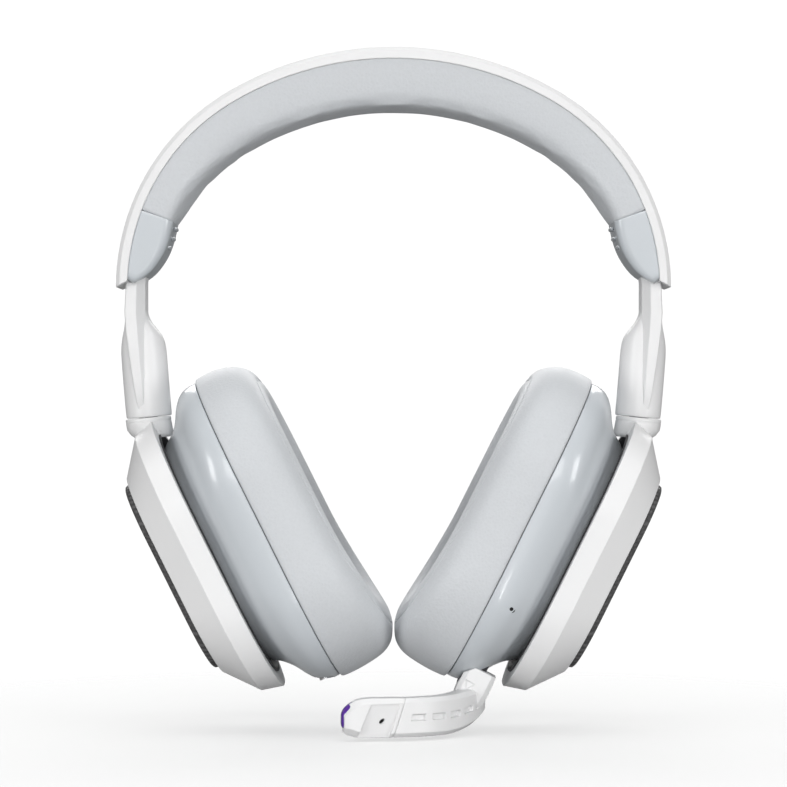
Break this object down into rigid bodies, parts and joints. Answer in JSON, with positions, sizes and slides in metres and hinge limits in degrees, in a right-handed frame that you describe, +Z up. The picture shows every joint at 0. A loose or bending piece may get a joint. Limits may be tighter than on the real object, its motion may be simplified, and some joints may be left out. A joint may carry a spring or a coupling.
{
  "type": "gaming headset",
  "caption": "Over-ear wireless gaming headset with sliding arms, turning cups, soft ear rings and a plug-in boom microphone.",
  "frame": {"origin": "middle of the headband cushion underside, where the band rests on the crown of a head", "axes": "+Z up, the wearer faces -Y, +X is the wearer's left"},
  "size_m": [0.1734, 0.0923, 0.2117],
  "materials": {
    "shell_white": "satin",
    "casing_grey": "satin",
    "cushion_grey": "soft grained",
    "scrim_grey": "knitted",
    "spring_steel": "brushed",
    "dark_plastic": "matt",
    "tag_dark": "woven print",
    "board_green": "matt",
    "magnet_nickel": "plated",
    "battery_foil": "foil",
    "diaphragm_film": "thin film",
    "gasket_rubber": "matt",
    "socket_metal": "plated",
    "mic_foam": "foam",
    "tip_violet": "gloss",
    "light_lens": "translucent"
  },
  "bodies": {
    "headband": {"headband_outer_shell": "shell_white", "headband_spring_band": "spring_steel", "headband_cushion": "cushion_grey", "headband_cable": "dark_plastic", "headband_screws": "spring_steel", "left_end_cap": "casing_grey", "right_end_cap": "casing_grey", "left_detent_spring": "spring_steel", "right_detent_spring": "spring_steel"},
    "left_slider": {"left_slider_arm": "shell_white", "left_slider_rail": "spring_steel", "left_swivel_pin": "spring_steel"},
    "left_yoke": {"left_yoke_frame": "shell_white", "left_yoke_liner": "dark_plastic", "left_tilt_pins": "spring_steel", "left_tag_magnets": "magnet_nickel"},
    "left_tag": {"left_speaker_tag": "tag_dark"},
    "left_cup": {"left_cup_housing": "casing_grey", "left_baffle": "dark_plastic", "left_driver_frame": "dark_plastic", "left_driver_magnet": "magnet_nickel", "left_driver_diaphragm": "diaphragm_film", "left_ear_cushion": "cushion_grey", "left_cushion_scrim": "scrim_grey", "left_cup_screws": "spring_steel", "main_board": "board_green", "mic_socket": "dark_plastic", "audio_jack": "dark_plastic", "built_in_mic": "socket_metal"},
    "right_slider": {"right_slider_arm": "shell_white", "right_slider_rail": "spring_steel", "right_swivel_pin": "spring_steel"},
    "right_yoke": {"right_yoke_frame": "shell_white", "right_yoke_liner": "dark_plastic", "right_tilt_pins": "spring_steel", "right_tag_magnets": "magnet_nickel"},
    "right_tag": {"right_speaker_tag": "tag_dark"},
    "right_cup": {"right_cup_housing": "casing_grey", "right_baffle": "dark_plastic", "right_driver_frame": "dark_plastic", "right_driver_magnet": "magnet_nickel", "right_driver_diaphragm": "diaphragm_film", "right_ear_cushion": "cushion_grey", "right_cushion_scrim": "scrim_grey", "right_cup_screws": "spring_steel", "battery": "battery_foil", "charge_port": "socket_metal", "roller_axle": "spring_steel", "status_light": "light_lens"},
    "mute_switch": {"mute_switch": "dark_plastic"},
    "volume_roller": {"volume_roller": "dark_plastic"},
    "power_button": {"power_button": "dark_plastic"},
    "pairing_button": {"pairing_button": "dark_plastic"},
    "mic": {"mic_plug": "socket_metal", "mic_gasket": "gasket_rubber", "mic_root_block": "shell_white", "mic_boom_arm": "shell_white"},
    "mic_head": {"mic_head_shell": "shell_white", "mic_capsule": "mic_foam", "mic_tip_ring": "tip_violet"}
  },
  "joints": [
    {"name": "left_slide", "type": "slide", "parent": "headband", "child": "left_slider", "axis": [0.1908, 0, -0.9816], "range_m": [0, 0.022]},
    {"name": "left_swivel", "type": "hinge", "parent": "left_slider", "child": "left_yoke", "pos_m": [0.07749, 0, -0.09891], "axis": [-0.0872, 0, -0.9962], "range_deg": [0, 90]},
    {"name": "left_tilt", "type": "hinge", "parent": "left_yoke", "child": "left_cup", "pos_m": [0.05831, 0, -0.14298], "axis": [0, -1, 0], "range_deg": [0, 4.5]},
    {"name": "left_tag_pull", "type": "slide", "parent": "left_yoke", "child": "left_tag", "axis": [0.8949, 0, -0.4462], "range_m": [0, 0.012]},
    {"name": "right_slide", "type": "slide", "parent": "headband", "child": "right_slider", "axis": [-0.1908, 0, -0.9816], "range_m": [0, 0.022]},
    {"name": "right_swivel", "type": "hinge", "parent": "right_slider", "child": "right_yoke", "pos_m": [-0.07749, 0, -0.09891], "axis": [-0.0872, 0, 0.9962], "range_deg": [0, 90]},
    {"name": "right_tilt", "type": "hinge", "parent": "right_yoke", "child": "right_cup", "pos_m": [-0.05831, 0, -0.14298], "axis": [0, 1, 0], "range_deg": [0, 4.5]},
    {"name": "right_tag_pull", "type": "slide", "parent": "right_yoke", "child": "right_tag", "axis": [-0.8949, 0, -0.4462], "range_m": [0, 0.012]},
    {"name": "mic_unplug", "type": "slide", "parent": "left_cup", "child": "mic", "axis": [-0.4462, 0, -0.8949], "range_m": [0, 0.014]},
    {"name": "mic_flex", "type": "hinge", "parent": "mic", "child": "mic_head", "pos_m": [0.01416, -0.03694, -0.1894], "axis": [0, 0, 1], "range_deg": [-20, 20]},
    {"name": "mute_slide", "type": "slide", "parent": "left_cup", "child": "mute_switch", "axis": [0.4462, 0, 0.8949], "range_m": [0, 0.0025]},
    {"name": "volume_turn", "type": "hinge", "parent": "right_cup", "child": "volume_roller", "pos_m": [-0.04327, 0.0365, -0.13549], "axis": [0.8949, 0, 0.4462], "continuous": true},
    {"name": "power_press", "type": "slide", "parent": "right_cup", "child": "power_button", "axis": [0, -1, 0], "range_m": [0, 0.0007], "stiffness_N_per_m": 800, "springref_m": -0.0003},
    {"name": "pairing_press", "type": "slide", "parent": "right_cup", "child": "pairing_button", "axis": [0, -1, 0], "range_m": [0, 0.0007], "stiffness_N_per_m": 800, "springref_m": -0.0003}
  ]
}
